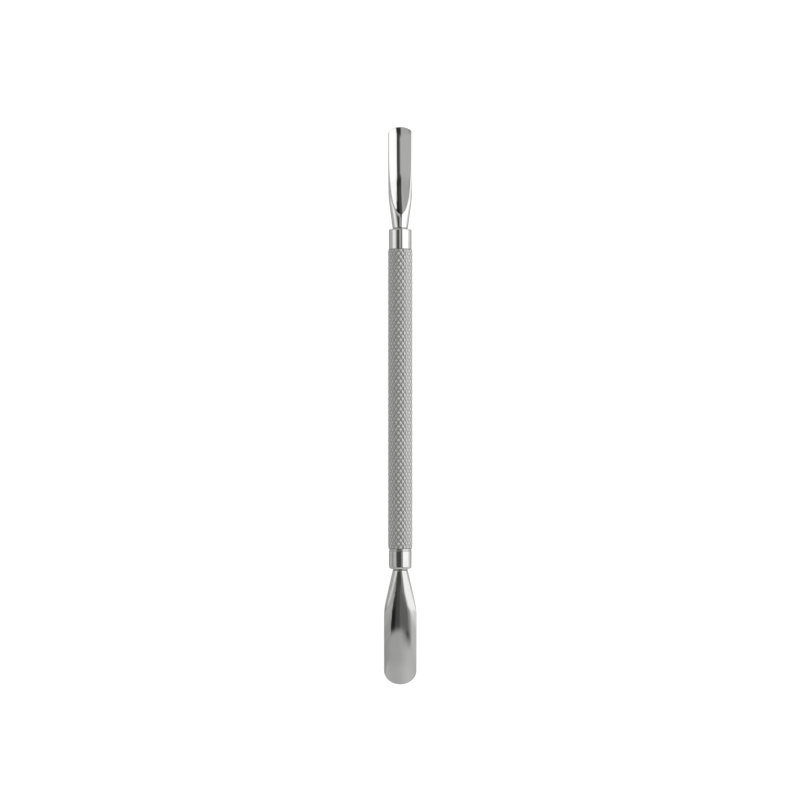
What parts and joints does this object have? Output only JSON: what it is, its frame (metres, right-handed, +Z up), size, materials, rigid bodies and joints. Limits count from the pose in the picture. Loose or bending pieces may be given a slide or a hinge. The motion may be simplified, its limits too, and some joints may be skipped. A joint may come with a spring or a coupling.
{
  "type": "cuticle pusher",
  "caption": "Double-ended steel cuticle pusher: knurled hollow handle, ferrules with rounded noses, a narrow gouge at one end and a wide spoon-shaped blade at the other.",
  "frame": {"origin": "on the surface that the tool lies on, under the middle of its bounding box", "axes": "+Y along the handle towards the narrow gouge, +Z up and away from the surface, X across the blades"},
  "size_m": [0.0078, 0.1354, 0.006],
  "materials": {
    "knurled_steel": "bright diamond knurl, satin",
    "polished_steel": "turned and polished stainless steel",
    "braze": "dull silver-grey braze",
    "mirror_blade_steel": "mirror polished stainless steel",
    "satin_blade_steel": "fine satin polished stainless steel"
  },
  "bodies": {
    "root": {"knurled_handle_tube": "knurled_steel", "narrow_end_ferrule": "polished_steel", "wide_end_ferrule": "polished_steel", "narrow_end_braze_ring": "braze", "wide_end_braze_ring": "braze", "narrow_pusher_blade": "mirror_blade_steel", "wide_pusher_blade": "satin_blade_steel"}
  },
  "joints": []
}
